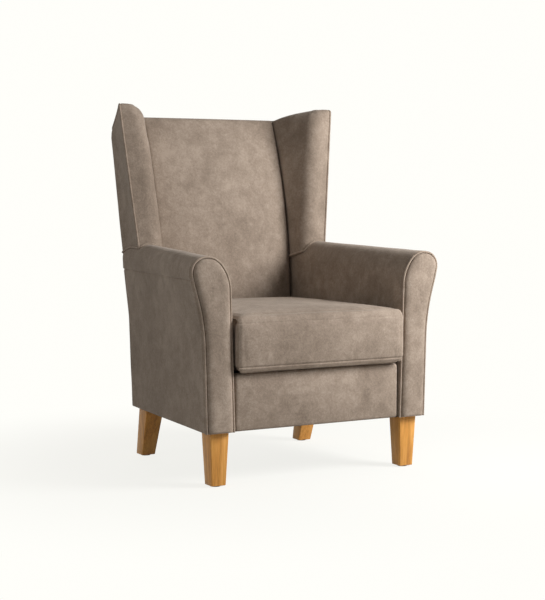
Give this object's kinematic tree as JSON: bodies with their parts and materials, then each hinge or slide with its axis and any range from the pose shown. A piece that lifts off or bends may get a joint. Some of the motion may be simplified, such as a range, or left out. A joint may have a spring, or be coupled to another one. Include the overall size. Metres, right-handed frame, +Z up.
{
  "type": "wingback armchair",
  "caption": "Upholstered wingback armchair with flared rolled arms, padded wings, loose seat cushion and square tapered wooden legs; the cushion lifts out.",
  "frame": {"origin": "on the floor, in the middle of the chair's bounding box in plan", "axes": "+Z up, the chair faces -Y, +X to the right as seen from the front"},
  "size_m": [0.7978, 0.7407, 1.06],
  "materials": {
    "suede": "soft napped faux suede, taupe",
    "oak_leg": "satin lacquered oak",
    "frame_timber": "sawn beech",
    "frame_plywood": "plywood",
    "foam": "cut polyurethane foam, modelled as light fabric",
    "felt": "needled felt",
    "dust_cloth": "black non-woven cloth",
    "webbing": "woven elastic webbing",
    "spring_steel": "bright drawn steel",
    "glide_plastic": "moulded",
    "zip_tape": "woven tape with coil",
    "zip_metal": "enamelled"
  },
  "bodies": {
    "chair": {"arm_cover_inside_left": "suede", "arm_cover_inside_right": "suede", "arm_cover_outside_left": "suede", "arm_cover_outside_right": "suede", "arm_front_board_left": "frame_plywood", "arm_front_board_right": "frame_plywood", "arm_front_panel_left": "suede", "arm_front_panel_right": "suede", "arm_front_welt_left": "suede", "arm_front_welt_right": "suede", "arm_pad_left": "foam", "arm_pad_right": "foam", "arm_rail_left": "frame_timber", "arm_rail_right": "frame_timber", "back_cover_inside": "suede", "back_cover_outside": "suede", "back_pad": "foam", "back_post_left": "frame_timber", "back_post_right": "frame_timber", "back_rail_lower": "frame_timber", "back_rail_top": "frame_timber", "back_webbing": "webbing", "border_cover": "suede", "border_pad": "foam", "corner_blocks": "frame_timber", "deck_cover": "dust_cloth", "deck_pad": "foam", "dust_cover": "dust_cloth", "leg_front_left": "oak_leg", "leg_front_right": "oak_leg", "leg_glides": "glide_plastic", "leg_hanger_bolts": "spring_steel", "leg_rear_left": "oak_leg", "leg_rear_right": "oak_leg", "leg_tee_nuts": "spring_steel", "seat_rail_front": "frame_timber", "seat_rail_rear": "frame_timber", "seat_rail_side_left": "frame_timber", "seat_rail_side_right": "frame_timber", "seat_springs": "spring_steel", "spring_clips": "spring_steel", "spring_felt": "felt", "wing_board_left": "frame_plywood", "wing_board_right": "frame_plywood", "wing_cover_inside_left": "suede", "wing_cover_inside_right": "suede", "wing_cover_outside_left": "suede", "wing_cover_outside_right": "suede", "wing_pad_left": "foam", "wing_pad_right": "foam", "wing_welt_left": "suede", "wing_welt_right": "suede"},
    "seat_cushion": {"cushion_cover": "suede", "cushion_core": "foam", "cushion_zip": "zip_tape"},
    "zip_slider": {"zip_slider": "zip_metal"}
  },
  "joints": [
    {"name": "cushion_lift", "type": "slide", "parent": "chair", "child": "seat_cushion", "axis": [0, -0.94, 0.3412], "range_m": [0, 0.75]},
    {"name": "zip_slide", "type": "slide", "parent": "seat_cushion", "child": "zip_slider", "axis": [-1, 0, 0], "range_m": [0, 0.35]}
  ]
}
